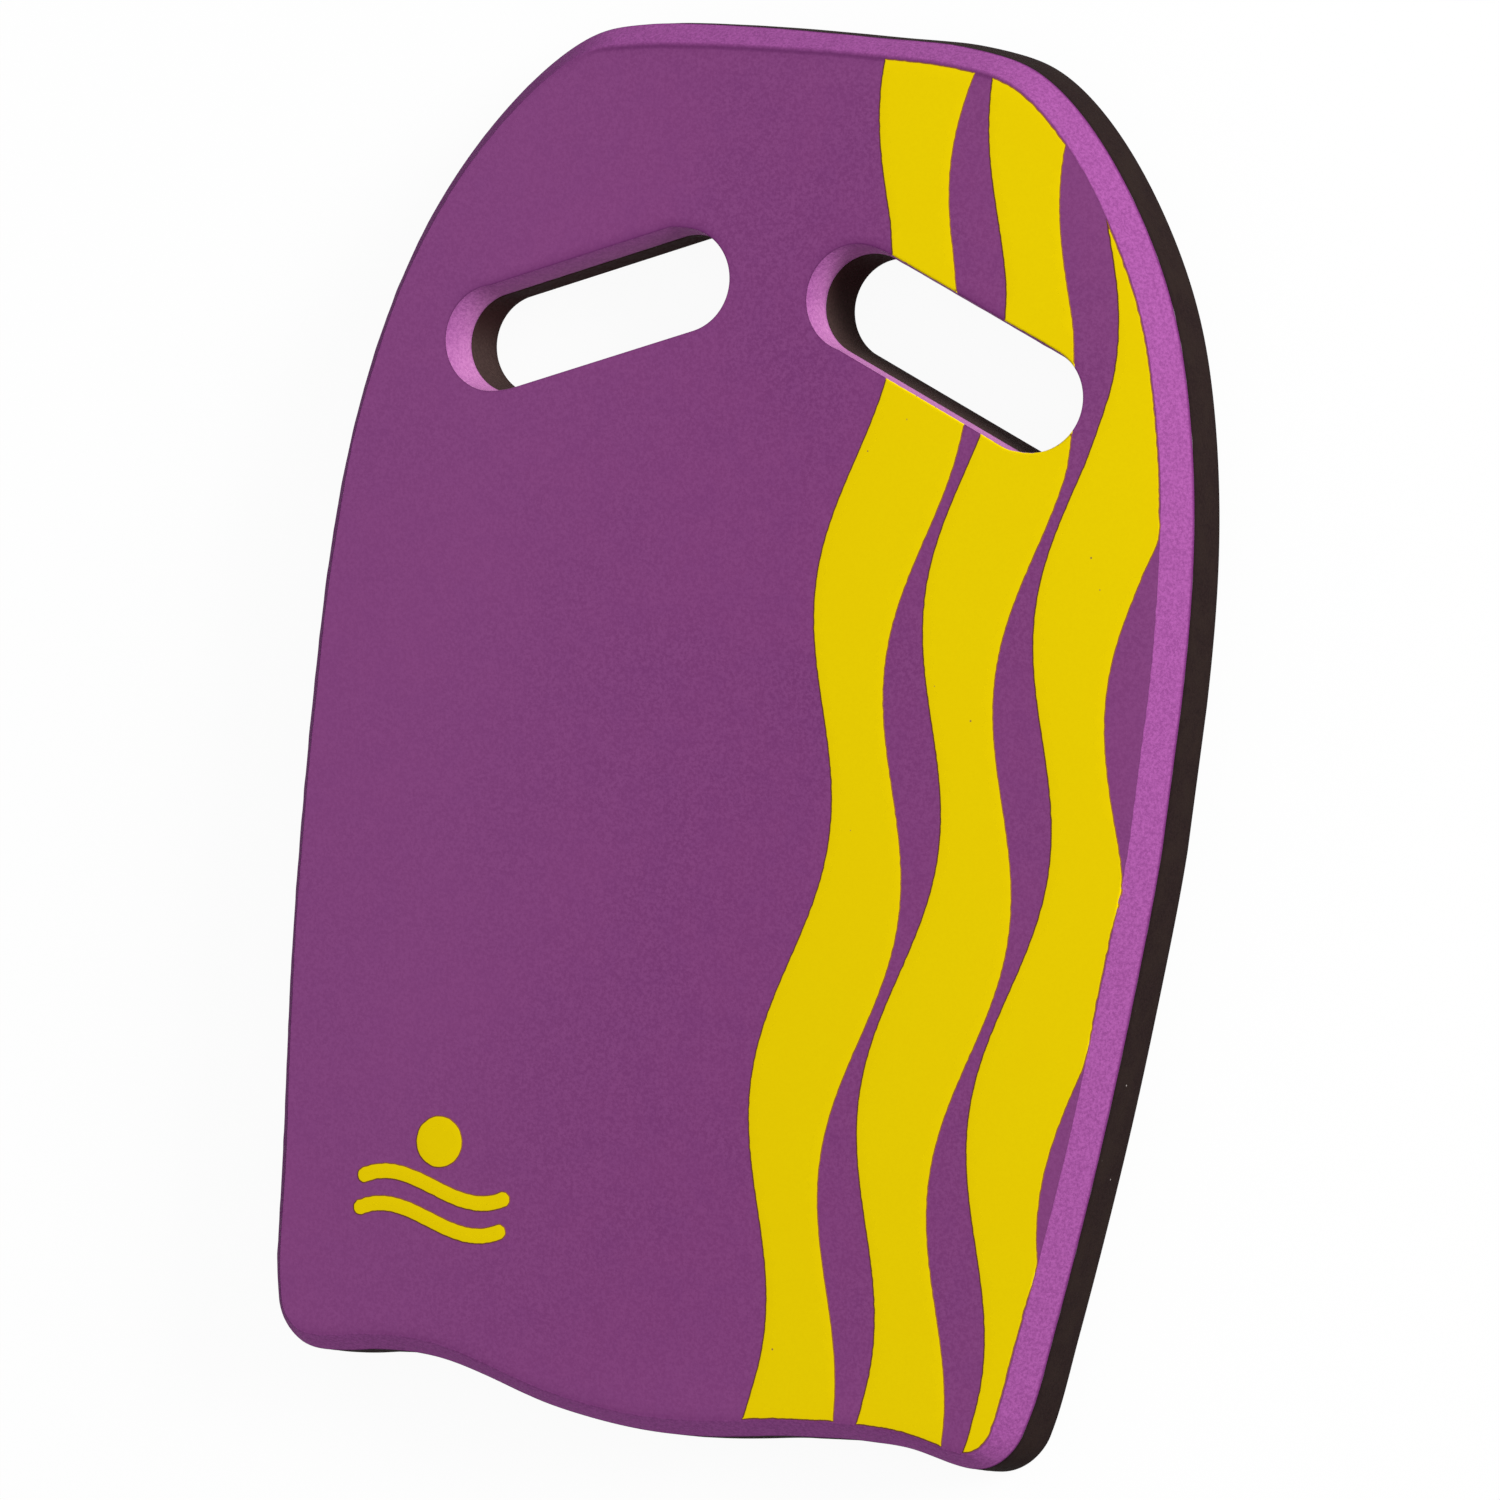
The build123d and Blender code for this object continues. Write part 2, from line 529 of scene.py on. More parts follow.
def front_edge():
    """Rings of the front sheet's outer edge, from the face down to the glue."""
    depth = CREASE_DEPTH * ENDWAYS
    face_side = FACE_EDGE + EDGE_REACH
    # The crease's rings take painted shade, most at the nose and less at the tail
    rings = [edge_ring(face_side + shift, FACE - drop * depth, 0, painted_shade * ENDWAYS)
             for shift, drop, painted_shade in CREASE_RINGS]
    # Painted shade on the bevel of the -X side, which faces away from the lamp
    shade = LEFT_SHADE * LEFTWARD**2
    for share in inner_shares(ARC_STEPS) + [1]:
        turn = SLOPE * share
        inset = face_side - EDGE_RADII * math.sin(turn)
        level = FACE - EDGE_RADII * (1 - math.cos(turn)) - EDGE_SINK * depth * (1 - share)
        # Painted shade: the crease's fades down the rounding, and that of the -X side grows
        painted_shade = np.maximum(EDGE_DARKNESS * (1 - share) * ENDWAYS, shade * share)
        rings.append(edge_ring(inset, level, share, painted_shade))
    top_inset = FACE_EDGE - EDGE_REACH * math.cos(SLOPE)
    top_level = FACE - EDGE_REACH * math.sin(SLOPE)
    land_top = FRONT_BASE + LAND
    for number, share in enumerate(inner_shares(SLOPE_STEPS) + [BEVEL_END]):
        rough = CUT_WOBBLE * wobble(OUTLINE, wave=16, seed=20 + number)
        swell = BEVEL_BULGE * math.sin(math.pi * share) + rough
        inset = top_inset + (SEAM_INSET - top_inset) * share - swell * math.sin(SLOPE)
        level = top_level + (land_top - top_level) * share + swell * math.cos(SLOPE)
        rings.append(edge_ring(inset, level, 1, shade))
    # The land and the seam's rounding below it take full painted shade
    for share in HALVES:
        turn = SLOPE + (math.pi / 2 - SLOPE) * share
        inset = SEAM_INSET + LAND_RADIUS * (1 - math.sin(turn))
        level = land_top - LAND_RADIUS * (LAND_SINK - math.cos(turn))
        rings.append(edge_ring(inset, level, 1, 1))
    for share, inward, upward in rounding(SEAM_RADIUS, HALVES):
        rings.append(edge_ring(SEAM_INSET + inward, FRONT_BASE + upward, 1, 1))
    rings.append(edge_ring(SEAM_INSET + SEAM_MARGIN, FRONT_BASE, 1, 1))
    return rings


def back_edge():
    """Rings of the back sheet's outer edge, from the glue down to the back face."""
    wander = BACK_WOBBLE * (1 + wobble(OUTLINE, wave=90, seed=7))
    # Painted shade at the seam, which fades down the back sheet's rounding
    rings = [edge_ring(SEAM_INSET + SEAM_MARGIN, BACK_TOP, 1, 1)]
    for share, inward, downward in rounding(SEAM_RADIUS, HALVES[::-1]):
        painted_shade = 1 - SEAM_FADE * (1 - share)
        rings.append(edge_ring(SEAM_INSET + inward, BACK_TOP - downward, 1, painted_shade))
    for number, share in enumerate(inner_shares(LEAN_STEPS)):
        arch = math.sin(math.pi * share)
        rough = FINE_WOBBLE * arch * wobble(OUTLINE, wave=18, seed=40 + number)
        swell = LEAN_BULGE * arch + rough
        inset = SEAM_INSET * (1 - share) - swell + wander * share
        level = BACK_TOP - SEAM_RADIUS + (LAND - BACK_TOP + SEAM_RADIUS) * share
        rings.append(edge_ring(np.maximum(inset, 0), level, 1))
    # Painted shade along the bottom edge, by the floor
    for share, inward, upward in rounding(BACK_EDGE_RADIUS, THIRDS):
        inset = np.maximum(wander + inward, 0)
        rings.append(edge_ring(inset, upward, 1 - share, BACK_EDGE_DARKNESS))
    rings.append(edge_ring(BACK_MARGIN, 0))
    return rings


def wall_rings(slot, levels, places, curve, base_radius, base_painted_shade, lit_cut, seed):
    """Rings of a cut wall in a hand slot, and of the rounded edge below it. The levels, the places
    and the shares of paler cut foam with painted light are those of the wall's top and of its
    base."""
    line, _ = slot.line(SLOT_STEP)
    (top, base), (top_out, base_out), (top_lit_cut, base_lit_cut) = levels, places, lit_cut
    low = base + base_radius
    rings = []
    for number, share in enumerate(inner_shares(WALL_STEPS)):
        hollow = WALL_HOLLOW * math.sin(math.pi * share) ** 2
        rough = FINE_WOBBLE * wobble(line, wave=12, seed=seed + number)
        place = base_out + (top_out - base_out) * (1 - share) ** curve + hollow + rough
        level = top + (low - top) * share
        # Share of the paler cut foam with painted light, from the wall's top to its base
        wall = top_lit_cut + (base_lit_cut - top_lit_cut) * share
        rings.append(slot_ring(slot, place, level, 1, 0, wall))
    shares = [0] + inner_shares(FOOT_STEPS) + [1]
    for share, outward_by, upward in rounding(base_radius, shares):
        # Painted shade round the wall's foot, by the seam or the floor
        painted_shade = FOOT_DARKNESS + (base_painted_shade - FOOT_DARKNESS) * share
        wall = base_lit_cut * (1 - share)
        rings.append(slot_ring(slot, base_out + outward_by, base + upward, 1 - share, painted_shade, wall))
    rings.append(slot_ring(slot, base_out + base_radius + SLOT_MARGIN, base))
    return rings


def mouth_rings(slot, top, place, radius, painted_shades, lit_cut):
    """Rings of the rounded edge above a slot's wall, from the flat face inward."""
    # Painted shade on the face at the slot's edge and down its rounding
    rings = [slot_ring(slot, place + radius + shift, top, 0, painted_shade)
             for shift, painted_shade in zip(RIM_SHIFTS, painted_shades)]
    for share, downward, outward_by in rounding(radius, MOUTH_SHARES):
        cut = min(1, CUT_RATE * share)
        painted_shade = painted_shades[-1] * (1 - share)
        rings.append(slot_ring(slot, place + outward_by, top - downward, cut, painted_shade, cut * lit_cut))
    return rings


def front_wall(slot, seed):
    """Rings of the front sheet's wall in a slot, which opens out toward the mouth."""
    _, out = slot.line(SLOT_STEP)
    noseward, tailward = np.clip(out[:, 1], 0, 1), np.clip(-out[:, 1], 0, 1)
    # Painted light on the walls: most where they face the nose, less at the ends and facing the
    # tail
    lit_cut = (LIT_CUT_END + (1 - LIT_CUT_END) * tailward) * (1 - UPPER_SHADE * noseward**2)
    # Painted shade at the mouth, most above the walls that face the tail
    shade = MOUTH_SHADE * (MOUTH_SIDE_SHADE + (1 - MOUTH_SIDE_SHADE) * noseward)
    painted_shades = (0, *(share * shade * noseward for share in MOUTH_RIM_SHADES), shade)
    lit_cut_shares = np.clip((lit_cut + LIT_CUT_TOP, lit_cut + LIT_CUT_BASE), 0, 1)
    places = slot.lip(out), slot.seam(out)
    levels = FACE - MOUTH_EDGE, FRONT_BASE
    rings = mouth_rings(slot, FACE, places[0], MOUTH_EDGE, painted_shades, lit_cut_shares[0])
    return rings + wall_rings(slot, levels, places, MOUTH_CURVE, SEAM_RADIUS, FRONT_FOOT_DARKNESS,
                              lit_cut_shares, seed)


def back_wall(slot, seed):
    """Rings of the back sheet's wall in a slot."""
    _, out = slot.line(SLOT_STEP)
    # Painted light on the black walls, less on those that face the tail, which take painted shade
    lit_cut = 1 - BACK_SHADE * np.clip(BACK_SHADE_START + out[:, 1], 0, 1)
    places = slot.seam(out), slot.back(out)
    levels = BACK_TOP - SEAM_RADIUS, 0
    # Painted shade at the top of the wall, by the seam
    rings = mouth_rings(slot, BACK_TOP, places[0], SEAM_RADIUS, BACK_RIM_SHADES, lit_cut)
    return rings + wall_rings(slot, levels, places, 1, BACK_MOUTH_RADIUS, 0, (lit_cut, lit_cut), seed)


def grid_points(loop, step):
    """Points of a staggered grid over a closed line's box."""
    low, high = loop.min(0), loop.max(0)
    rows = np.arange(low[1], high[1], step * math.sqrt(3) / 2)
    columns = np.arange(low[0], high[0], step)
    x, y = np.meshgrid(columns, rows)
    x = x + np.where(np.arange(len(rows)) % 2, step / 2, 0)[:, None]
    return np.column_stack([x.ravel(), y.ravel()])


def triangles_in(points, borders):
    """Triangles over points, whose first ones are the borders' own, inside the first border and
    outside the others."""
    edges, start = [], 0
    for border in borders:
        edges += [(start + i, start + (i + 1) % len(border)) for i in range(len(border))]
        start += len(border)
    flat = [Vector(point) for point in points]
    _, _, faces, source, _, _ = delaunay_2d_cdt(flat, edges, [], WHOLE_HULL, MERGE_DISTANCE)
    back = [min(found) if found else -1 for found in source]
    triangles = np.array([[back[i] for i in face] for face in faces])
    triangles = triangles[triangles.min(1) >= 0]
    middles = points[triangles].mean(1)
    good = inside(middles, borders[0])
    for hole in borders[1:]:
        good &= ~inside(middles, hole)
    triangles = triangles[good]
    corners = points[triangles]
    one, two = corners[:, 1] - corners[:, 0], corners[:, 2] - corners[:, 0]
    left_handed = one[:, 0] * two[:, 1] - one[:, 1] * two[:, 0] < 0
    triangles[left_handed] = triangles[left_handed][:, ::-1]
    return triangles


def fill(borders, step, extra=np.zeros((0, 2))):
    """New points inside the first border and outside the others, and triangles over all of them.
    The triangles number the borders' points first, and then the new ones."""
    given = np.vstack(borders + [extra])
    grid = grid_points(borders[0], step)
    keep = inside(grid, borders[0]) & (gap_to(grid, given) > CAP_MARGIN * step)
    for hole in borders[1:]:
        keep &= ~inside(grid, hole)
    new = np.vstack([extra, grid[keep]])
    return new, triangles_in(np.vstack(borders + [new]), borders)


def strip_faces(first, second, count, flip):
    """Quads between two rings of the same count."""
    i = np.arange(count)
    j = (i + 1) % count
    quads = np.column_stack([first + i, second + i, second + j, first + j])
    return quads[:, ::-1] if flip else quads


def face_swell(points):
    """Faint unevenness of a flat foam face, which dies out at its borders."""
    broad = np.sin(points / BROAD_WAVES + BROAD_PHASES).prod(1)
    across, along = (points / CROSS_WAVES).T
    cross = np.sin(across - along + CROSS_PHASE)
    away = gap_to(points, OUTLINE) - BEVEL - SWELL_MARGIN
    for slot in SLOTS:
        away = np.minimum(away, slot.gap(points) - SWELL_SLOT_MARGIN)
    return FACE_SWELL * (broad + CROSS_SHARE * cross) * np.clip(away / SWELL_FADE, 0, 1)


def edge_paleness(points):
    """Fades from 1 at the board's outline to a little well inside it, more on the -X side."""
    side_paleness = SIDE_PALENESS * np.clip((SIDE_PALENESS_PLACE - points[:, 0]) / SIDE_PALENESS_SPREAD, 0, 1)
    return np.maximum(np.exp(-gap_to(points, OUTLINE[::PALENESS_STRIDE]) / EDGE_FADE), side_paleness)


class Shell:
    """A closed sheet that is put together from rings of points and from filled faces."""

    def __init__(self):
        self.points = []
        self.faces = []
        self.values = {"cut": [], "painted_shade": [], "wall": []}
        self.total = 0

    def add(self, points, values=None):
        """Add points with their material values, or zeros, and tell the first one's number."""
        first = self.total
        self.points.append(points)
        for key, found in self.values.items():
            found.append(values[key] if values else np.zeros(len(points)))
        self.total += len(points)
        return first

    def cap(self, borders, step, flip, swells):
        """Fill the flat face between borders, which are given as first numbers and points."""
        new, triangles = fill([points[:, :2] for _, points in borders], step)
        rise = face_swell(new) if swells else np.zeros(len(new))
        first = self.add(np.column_stack([new, borders[0][1][0, 2] + rise]))
        numbers = np.concatenate([start + np.arange(len(points))
                                  for start, points in borders + [(first, new)]])
        triangles = numbers[triangles]
        self.faces += (triangles[:, ::-1] if flip else triangles).tolist()

    def piece(self, name):
        points = np.vstack(self.points)
        values = {key: np.concatenate(found) for key, found in self.values.items()}
        return piece(name, points, self.faces, {**values, "paleness": edge_paleness(points[:, :2])})


def sheet_mesh(name, edge_rings, slot_rings, top_step, base_step, swells):
    """Closed mesh of one foam sheet from its edge rings, its slot walls and two filled faces."""
    shell = Shell()
    tops, bases = [], []
    for number, rings in enumerate([edge_rings] + slot_rings):
        starts = [shell.add(one["points"], one) for one in rings]
        count = len(rings[0]["points"])
        for first, second in zip(starts, starts[1:]):
            shell.faces += strip_faces(first, second, count, number > 0).tolist()
        tops.append((starts[0], rings[0]["points"]))
        bases.append((starts[-1], rings[-1]["points"]))
    shell.cap(tops, top_step, False, swells)
    shell.cap(bases, base_step, True, False)
    return shell.piece(name)


def piece(name, points, faces, values):
    """A smooth-shaded object from points in millimetres, with one number a vertex per value."""
    mesh = bpy.data.meshes.new(name)
    mesh.from_pydata((points * MM).tolist(), [], faces)
    made = bmesh.new()
    made.from_mesh(mesh)
    bmesh.ops.recalc_face_normals(made, faces=made.faces[:])
    made.to_mesh(mesh)
    made.free()
    for key, numbers in values.items():
        attribute = mesh.attributes.new(key, "FLOAT", "POINT")
        attribute.data.foreach_set("value", np.asarray(numbers, np.float32))
    mesh.polygons.foreach_set("use_smooth", [True] * len(mesh.polygons))
    mesh.update()
    made = bpy.data.objects.new(name, mesh)
    bpy.context.scene.collection.objects.link(made)
    return made


# --- Ink and glue --------------------------------------------------------------------------------

def ragged(loop, seed):
    """An ink line with the faint unevenness of a print. Where the foam's own edge ends it, it
    follows that edge with a rougher line."""
    line = curve_through(loop, INK_STEP)
    normals = outward(line)
    turn = (normals * np.roll(normals, 1, 0)).sum(1)
    corners = line[turn < math.cos(SHARP_TURN / 2)]
    calm = np.clip(gap_to(line, corners) / INK_CORNER_FADE, 0, 1) if len(corners) else 1
    rough = sum(INK_RAG_SHARE * wobble(line, wave, seed + number)
                for number, wave in enumerate(INK_RAG_WAVES))
    setback = INK_EDGE_SETBACK + INK_RAG * calm * np.maximum(rough, -1)
    soft = wobble(line, INK_SOFT_WAVE, seed + len(INK_RAG_WAVES))
    line = line - normals * (INK_SOFTNESS * calm * soft)[:, None]
    gap, near = nearest(line, EVEN_LINE)
    place = FACE_EDGE[near] + INK_REACH * EDGE_REACH[near] + setback
    shift = (OUTLINE[near] - EVEN_LINE[near]) - NORMALS[near] * (place - BEVEL)[:, None]
    line = line + shift * follow(gap - BEVEL)[:, None]
    for slot in SLOTS:
        gap, way = slot.gap_and_way(line)
        place = slot.lip(way) + MOUTH_REACH + MOUTH_SETBACK * setback
        line = line + way * ((place - CAD_MOUTH) * follow(gap - CAD_MOUTH))[:, None]
    return line


def follow(away):
    """How much of the foam edge's own shift a point takes over, by its distance from that edge."""
    share = np.clip(1 - away / INK_FOLLOW, 0, 1)
    return share**2 * (3 - 2 * share)


def heights_on(tree, points):
    """Level of the foam below each point."""
    down = Vector((0, 0, -1))
    found = []
    for x, y in points:
        hit = tree.ray_cast(Vector((x, y, 2 * FACE)) * MM, down)[0]
        found.append(hit.z / MM if hit else FACE)
    return np.array(found)


def inner_rings(line):
    """Points on lines inside an ink line: one for its thin edge, and more of them where the foam
    under it curves."""
    rings = []
    for away in INK_RINGS:
        inner = line - outward(line) * away
        keep = inside(inner, line) & (gap_to(inner, line) > INK_RING_SHARE * away)
        if away > INK_EDGE:
            to_edge = gap_to(inner, OUTLINE) - BEVEL
            to_cut = np.min([to_edge] + [slot.gap(inner) for slot in SLOTS], axis=0)
            keep &= to_cut < INK_CUT_ZONE
        rings.append(inner[keep])
    return np.vstack(rings)


def edge_browning(line):
    """How brown the ink's thin edge is: fully, apart from the mouths of the slots."""
    brown = np.ones(len(line))
    for slot in SLOTS:
        gap, way = slot.gap_and_way(line)
        brown[gap < slot.lip(way) + INK_EDGE] = MOUTH_BROWN
    return brown


def ink_mesh(name, loops, tree, seed):
    """A thin closed film of ink that lies on the foam, over each of the loops."""
    points, faces, edges, total = [], [], [], 0
    for number, loop in enumerate(loops):
        line = ragged(loop, seed + INK_SEED_STEP * number)
        new, triangles = fill([line], INK_FILL_STEP, inner_rings(line))
        flat = np.vstack([line, new])
        foam = heights_on(tree, flat)
        proud = np.repeat((INK_EDGE_PROUD, INK_PROUD), (len(line), len(new)))
        points.append(np.column_stack([flat, np.minimum(foam + proud, INK_TOP)]))
        points.append(np.column_stack([flat, foam - INK_ROOT]))
        base = total + len(flat)
        faces += (total + triangles).tolist()
        faces += (base + triangles[:, ::-1]).tolist()
        faces += strip_faces(total, base, len(line), False).tolist()
        edges += 2 * [edge_browning(line), np.zeros(len(new))]
        total += 2 * len(flat)
    return piece(name, np.vstack(points), faces, {"edge": np.concatenate(edges)})


def recess(line, wave, seed):
    """How far the glue is set back from a cut edge, round one line."""
    return SEAM_RECESS * (1 + RECESS_ROUGHNESS * wobble(line, wave, seed))


def glue_mesh(name):
    """The film of glue, set back a little from every cut edge."""
    levels = FRONT_BASE, BACK_TOP
    inset = SEAM_INSET + recess(OUTLINE, wave=12, seed=61)
    edge = [edge_ring(inset, level) for level in levels]
    walls = []
    for number, slot in enumerate(SLOTS):
        line, out = slot.line(SLOT_STEP)
        place = slot.seam(out) + recess(line, wave=10, seed=70 + number)
        walls.append([slot_ring(slot, place, level) for level in levels])
    return sheet_mesh(name, edge, walls, HIDDEN_STEP, HIDDEN_STEP, False)


# --- Materials -------------------------------------------------------------------------------

# The part of a noise's range that counts, and how much the fine specks add to the foam's height
GRAIN_RANGE = (0.3, 0.7)
SPECK_SHARE = 0.4


class Graph:
    """A material's node graph, with short ways to add what these materials need."""

    def __init__(self, name):
        self.material = bpy.data.materials.new(name)
        self.material.use_nodes = True
        self.tree = self.material.node_tree
        self.tree.nodes.clear()
        self.place = self.add("ShaderNodeTexCoord").outputs["Object"]

    def add(self, kind, settings=None, **inputs):
        made = self.tree.nodes.new(kind)
        for key, value in (settings or {}).items():
            setattr(made, key, value)
        for key, value in inputs.items():
            self.put(made.inputs[key.replace("_", " ")], value)
        return made

    def put(self, socket, value):
        if isinstance(value, bpy.types.NodeSocket):
            self.tree.links.new(value, socket)
        else:
            socket.default_value = value

    def noise(self, size, detail=2.0, roughness=0.5, place=None):
        """Noise with features of about one size in millimetres."""
        found = self.add("ShaderNodeTexNoise", Vector=place or self.place, Scale=1 / (size * MM),
                         Detail=detail, Roughness=roughness)
        return found.outputs["Fac"]

    def stretched(self, x, y, z):
        return self.add("ShaderNodeMapping", Vector=self.place, Scale=(x, y, z)).outputs["Vector"]

    def cells(self, size):
        """Distance to the nearest of scattered points, in cells of about one size."""
        found = self.add("ShaderNodeTexVoronoi", Vector=self.place, Scale=1 / (size * MM))
        return found.outputs["Distance"]

    def remap(self, value, low, high, to_low=0.0, to_high=1.0):
        found = self.add("ShaderNodeMapRange", {"interpolation_type": "SMOOTHSTEP"})
        for key, one in (("Value", value), ("From Min", low), ("From Max", high),
                         ("To Min", to_low), ("To Max", to_high)):
            self.put(found.inputs[key], one)
        return found.outputs["Result"]

    def combine(self, kind, first, second):
        found = self.add("ShaderNodeMath", {"operation": kind})
        self.put(found.inputs[0], first)
        self.put(found.inputs[1], second)
        return found.outputs[0]

    def plus(self, first, second):
        return self.combine("ADD", first, second)

    def times(self, first, second):
        return self.combine("MULTIPLY", first, second)

    def spots(self, spacing, outer, inner, patch, low, high):
        """Small round spots, which show only in some patches of a larger size."""
        dots = self.remap(self.cells(spacing), outer, inner)
        return self.times(dots, self.remap(self.noise(patch, 1), low, high))

    def value(self, name):
        return self.add("ShaderNodeAttribute", {"attribute_name": name}).outputs["Fac"]

    def mix(self, amount, first, second):
        """Mix of two colours, which the node takes at inputs 6 and 7 and gives at output 2."""
        found = self.add("ShaderNodeMix", {"data_type": "RGBA"})
        self.put(found.inputs[0], amount)
        self.put(found.inputs[6], first)
        self.put(found.inputs[7], second)
        return found.outputs[2]

    def two_tone(self, grain, dark, light):
        """Mix of two colours by the lows and highs of a noise."""
        return self.mix(self.remap(grain, *GRAIN_RANGE), colour(*dark), colour(*light))

    def bump(self, height, depth, under=None):
        """Bumps of a height given from 0 to 1, that many millimetres deep."""
        found = self.add("ShaderNodeBump", Height=height, Distance=depth * MM, Strength=1.0)
        if under is not None:
            self.put(found.inputs["Normal"], under)
        return found.outputs["Normal"]

    def finish(self, colour, roughness, normal, **constants):
        shader = self.add("ShaderNodeBsdfPrincipled", Base_Color=colour, Roughness=roughness,
                          Normal=normal)
        for key, value in constants.items():
            shader.inputs[key.replace("_", " ")].default_value = value
        self.add("ShaderNodeOutputMaterial", Surface=shader.outputs[0])
        return self.material


def colour(red, green, blue):
    """Linear colour from the 0 to 255 values that it shows as."""
    linear = [c / 12.92 if c <= 0.04045 else ((c + 0.055) / 1.055) ** 2.4
              for c in (red / 255, green / 255, blue / 255)]
    return (*linear, 1.0)


def front_foam():
    """Purple EVA: a fine-grained skin on the face, and open, paler cells where it was cut, with
    painted light on the slots' walls and painted shade in the crease, at the seam and at edges.
    """
    graph = Graph("front_foam_purple")
    cut, painted_shade, paleness, wall = (graph.value(name) for name in ("cut", "painted_shade", "paleness", "wall"))
    grain = graph.noise(0.95, 2, 0.65)
    speck = graph.noise(0.42, 1)
    patch = graph.noise(55, 3, 0.6)
    cloud = graph.noise(9, 3, 0.6)
    skin = graph.mix(graph.remap(grain, 0.32, 0.68), colour(115, 55, 109), colour(129, 68, 123))
    skin = graph.mix(graph.remap(patch, 0.35, 0.65, 0, 0.35), skin, colour(130, 64, 120))
    skin = graph.mix(graph.remap(cloud, 0.4, 0.7, 0, 0.22), skin, colour(115, 56, 114))
    # Paler toward the board's outline and toward its -X side
    skin = graph.mix(graph.times(paleness, 0.4), skin, colour(136, 74, 130))
    open_cells = graph.two_tone(grain, (124, 61, 120), (144, 76, 139))
    pale = graph.remap(speck, 0.55, 0.75, 0, 0.5)
    open_cells = graph.mix(pale, open_cells, colour(152, 83, 147))
    # Paler cut foam with painted light, which the slots' walls take by their wall value
    lit_cut = graph.two_tone(grain, (172, 106, 162), (190, 124, 177))
    tint = graph.mix(cut, skin, graph.mix(wall, open_cells, lit_cut))
    # Painted shade: dark purple in the crease, on the -X bevel, at the seam and at the slots'
    # edges
    tint = graph.mix(graph.times(painted_shade, 0.75), tint, colour(84, 28, 82))
    rough = graph.remap(grain, *GRAIN_RANGE, 0.52, 0.68)
    height = graph.plus(grain, graph.times(speck, SPECK_SHARE))
    on_skin = graph.bump(height, 0.035)
    pits = graph.times(graph.plus(height, graph.noise(1.7, 2)), cut)
    normal = graph.bump(pits, 0.11, on_skin)
    return graph.finish(tint, rough, normal, Specular_IOR_Level=0.01)


def back_foam():
    """Black EVA, a little brown, with pale lint here and there, painted light on the slots' walls
    and painted shade at the seam and at edges.
    """
    graph = Graph("back_foam_black")
    cut, painted_shade, wall = (graph.value(name) for name in ("cut", "painted_shade", "wall"))
    grain = graph.noise(1.0, 2, 0.65)
    speck = graph.noise(0.45, 1)
    cloud = graph.noise(11, 3, 0.6)
    tint = graph.two_tone(grain, (30, 21, 21), (38, 28, 27))
    tint = graph.mix(graph.remap(cloud, 0.35, 0.7, 0, 0.5), tint, colour(41, 32, 28))
    # In the slots: paler cut foam with painted light, and a painted reddish shade on walls facing
    # the tail
    lit_cut = graph.two_tone(grain, (58, 44, 42), (68, 53, 50))
    in_slot = graph.mix(graph.remap(wall, 0.4, 1), colour(50, 30, 30), lit_cut)
    tint = graph.mix(graph.remap(wall, 0, 0.3), tint, in_slot)
    # Painted shade: near black at the seam, at the slots' edges and along the bottom edge
    tint = graph.mix(graph.times(painted_shade, 0.5), tint, colour(16, 9, 12))
    lint = graph.spots(7, 0.05, 0.03, 26, 0.56, 0.6)
    tint = graph.mix(lint, tint, colour(150, 142, 138))
    rough = graph.remap(grain, *GRAIN_RANGE, 0.66, 0.8)
    height = graph.plus(grain, graph.times(speck, SPECK_SHARE))
    on_skin = graph.bump(height, 0.04)
    drag = graph.noise(1.3, 2, 0.5, graph.stretched(1, 1, 0.06))
    pits = graph.times(graph.plus(height, drag), cut)
    normal = graph.bump(pits, 0.1, on_skin)
    return graph.finish(tint, rough, normal, Specular_IOR_Level=0.01)


def glue():
    """Dried contact glue: dark, a little shiny, and uneven in thickness."""
    graph = Graph("contact_glue")
    lumps = graph.noise(1.4, 3, 0.6)
    tint = graph.mix(graph.remap(lumps, 0.35, 0.65), colour(34, 18, 33), colour(58, 30, 56))
    normal = graph.bump(lumps, 0.08)
    rough = graph.remap(lumps, *GRAIN_RANGE, 0.35, 0.5)
    return graph.finish(tint, rough, normal, Specular_IOR_Level=0.4)


def ink():
    """Screen-printed yellow: opaque, faintly uneven, thin and brownish at its edges, with a few
    pinholes that show the foam."""
    graph = Graph("screen_ink_yellow")
    edge = graph.value("edge")
    grain = graph.noise(0.95, 2, 0.65)
    patch = graph.noise(40, 3, 0.6)
    tint = graph.two_tone(grain, (224, 197, 0), (226, 199, 0))
    tint = graph.mix(graph.remap(patch, 0.4, 0.65, 0, 0.35), tint, colour(226, 196, 0))
    holes = graph.spots(9, 0.045, 0.028, 31, 0.55, 0.6)
    tint = graph.mix(graph.times(holes, 0.8), tint, colour(120, 80, 60))
    thin = graph.remap(graph.plus(edge, graph.times(grain, 0.25)), 0.3, 0.6)
    tint = graph.mix(graph.times(thin, 0.9), tint, colour(112, 48, 38))
    normal = graph.bump(grain, 0.005)
    rough = graph.remap(grain, *GRAIN_RANGE, 0.5, 0.62)
    return graph.finish(tint, rough, normal, Specular_IOR_Level=0.02)


# --- Stage ---------------------------------------------------------------------------------------

# Lengths are in metres here, and angles in degrees. The floor lies FLOOR_DROP below the board, so
# that the two faces aren't in one plane, and FLOOR_GLOW of what the camera sees of it is white.
FLOOR_DROP = 0.0004
FLOOR_HALF = 4.0
FLOOR_GLOW = 0.94

